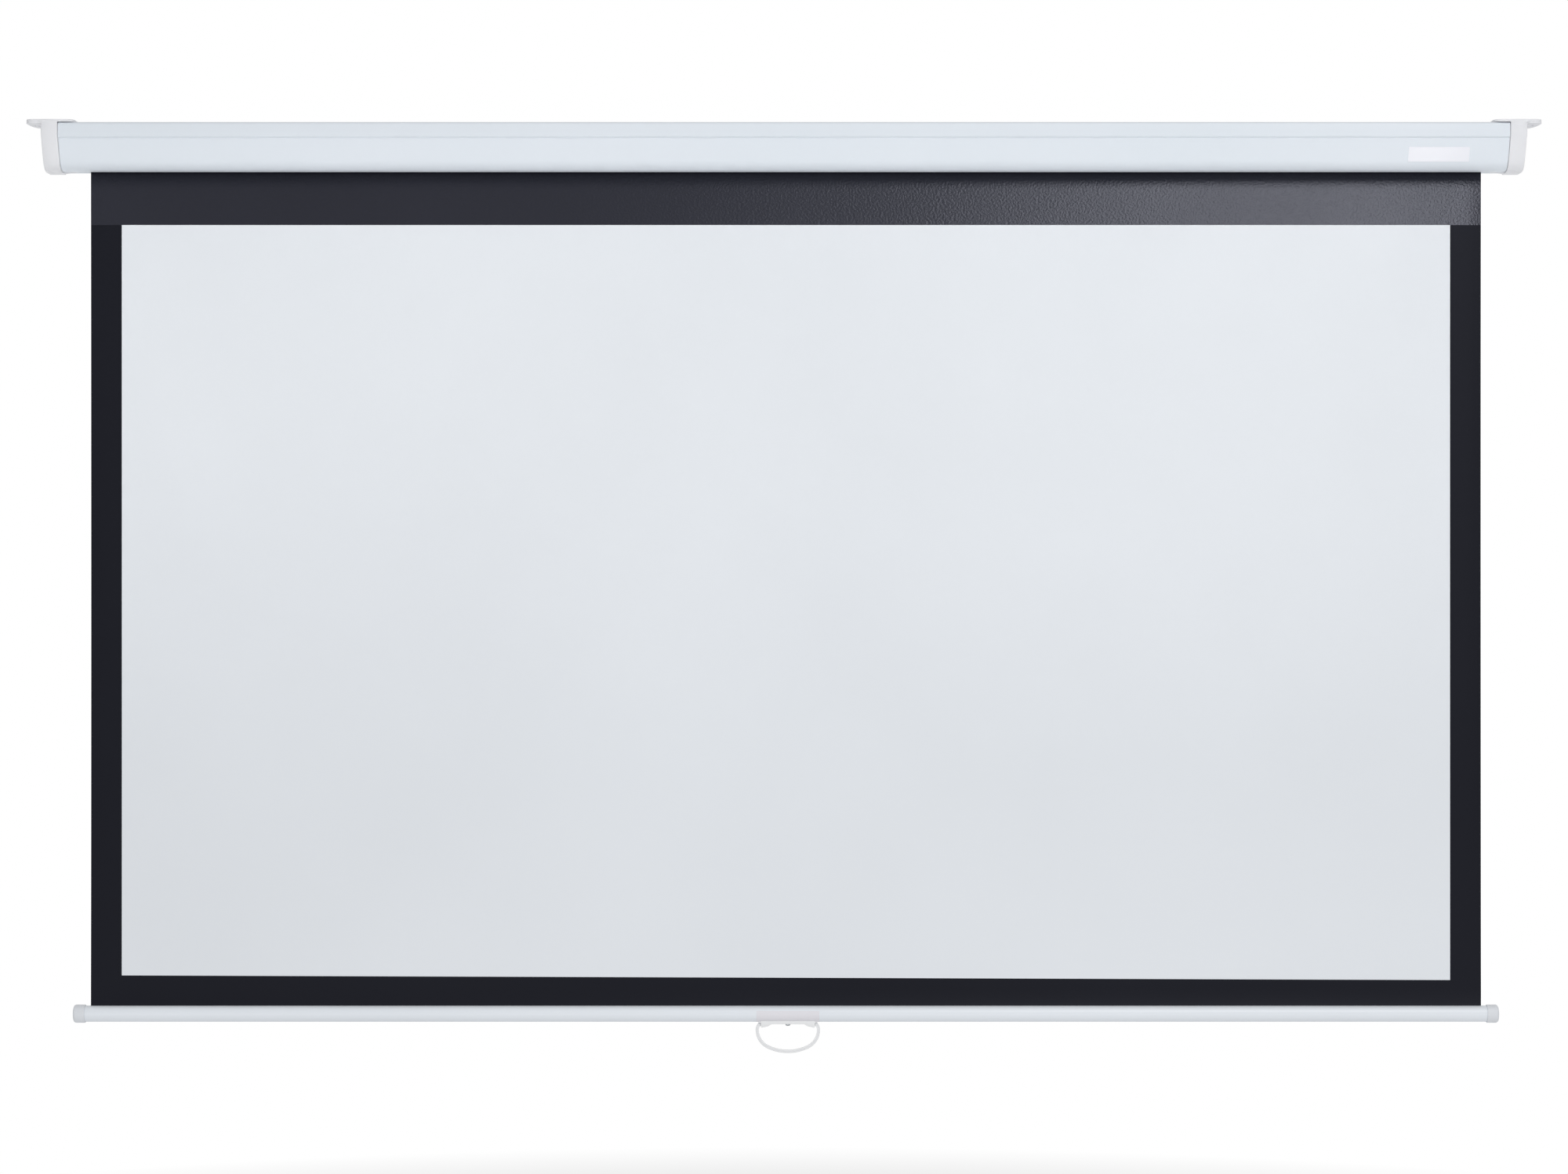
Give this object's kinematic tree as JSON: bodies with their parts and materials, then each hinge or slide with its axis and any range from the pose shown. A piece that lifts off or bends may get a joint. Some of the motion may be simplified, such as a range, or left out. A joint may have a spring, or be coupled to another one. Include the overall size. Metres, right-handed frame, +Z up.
{
  "type": "pull-down projection screen",
  "caption": "Manual projection screen with a spring roller and pawl lock in a slim case, black-bordered cloth, weight bar and hinged pull handle.",
  "frame": {"origin": "middle of the case's back face, where it lies against the wall", "axes": "+X along the case to the right as the viewer sees it, +Y into the wall, +Z up; the picture side faces -Y"},
  "size_m": [1.946, 0.0638, 1.2038],
  "materials": {
    "case_paint": "satin off-white powder coat",
    "cap_plastic": "fine-grained off-white moulding",
    "image_white": "matte white projection surface",
    "drop_black": "black print with a slight sheen",
    "border_black": "matte black print",
    "bar_paint": "satin off-white powder coat",
    "bar_plastic": "smooth off-white moulding",
    "handle_plastic": "smooth off-white moulding",
    "tube_steel": "galvanised",
    "dark_steel": "plain steel, lightly oiled",
    "spring_steel": "drawn spring wire",
    "nylon": "natural nylon",
    "screw_zinc": "bright zinc plate"
  },
  "bodies": {
    "case": {"case_shell": "case_paint", "left_end_cap": "cap_plastic", "right_end_cap": "cap_plastic", "left_cap_screw_front": "screw_zinc", "left_cap_screw_back": "screw_zinc", "right_cap_screw_front": "screw_zinc", "right_cap_screw_back": "screw_zinc", "ratchet_wheel": "dark_steel", "spring_spindle": "dark_steel", "spring_fixed_hub": "nylon", "drive_spring": "spring_steel", "idler_bush": "nylon"},
    "roller": {"roller_tube": "tube_steel", "cloth_spline": "nylon", "cloth_wrap": "border_black", "ratchet_head": "nylon", "head_cover": "nylon", "upper_pawl_pin": "dark_steel", "lower_pawl_pin": "dark_steel", "spindle_bush": "nylon", "idler_plug": "nylon", "idler_pin": "dark_steel"},
    "upper_pawl": {"upper_pawl": "dark_steel"},
    "lower_pawl": {"lower_pawl": "dark_steel"},
    "weight_bar": {"bar_tube": "bar_paint", "bar_cap_left": "bar_plastic", "bar_cap_right": "bar_plastic", "hem_rod": "dark_steel", "cloth_hem": "border_black", "black_drop": "drop_black", "image_cloth": "image_white", "cloth_border": "border_black", "handle_base": "handle_plastic", "handle_screw": "screw_zinc"},
    "handle": {"pull_handle": "handle_plastic"}
  },
  "joints": [
    {"name": "screen_pull", "type": "slide", "parent": "case", "child": "weight_bar", "axis": [0, 0, 1], "range_m": [0, 1.07], "deforming": ["black_drop", "image_cloth", "cloth_border"]},
    {"name": "roller_spin", "type": "hinge", "parent": "case", "child": "roller", "pos_m": [0, -0.03146, 0.0015], "axis": [1, 0, 0], "range_deg": [0, 3061]},
    {"name": "upper_pawl_swing", "type": "hinge", "parent": "roller", "child": "upper_pawl", "pos_m": [-0.9265, -0.02066, 0.0015], "axis": [1, 0, 0], "range_deg": [0, 10]},
    {"name": "lower_pawl_swing", "type": "hinge", "parent": "roller", "child": "lower_pawl", "pos_m": [-0.9265, -0.04226, 0.0015], "axis": [1, 0, 0], "range_deg": [0, 10]},
    {"name": "handle_swing", "type": "hinge", "parent": "weight_bar", "child": "handle", "pos_m": [0.005, -0.0135, -1.1334], "axis": [1, 0, 0], "range_deg": [-80, 80]}
  ],
  "couplings": [
    {"joint": "roller_spin", "follows": "screen_pull", "rad_per_m": 49.913}
  ]
}
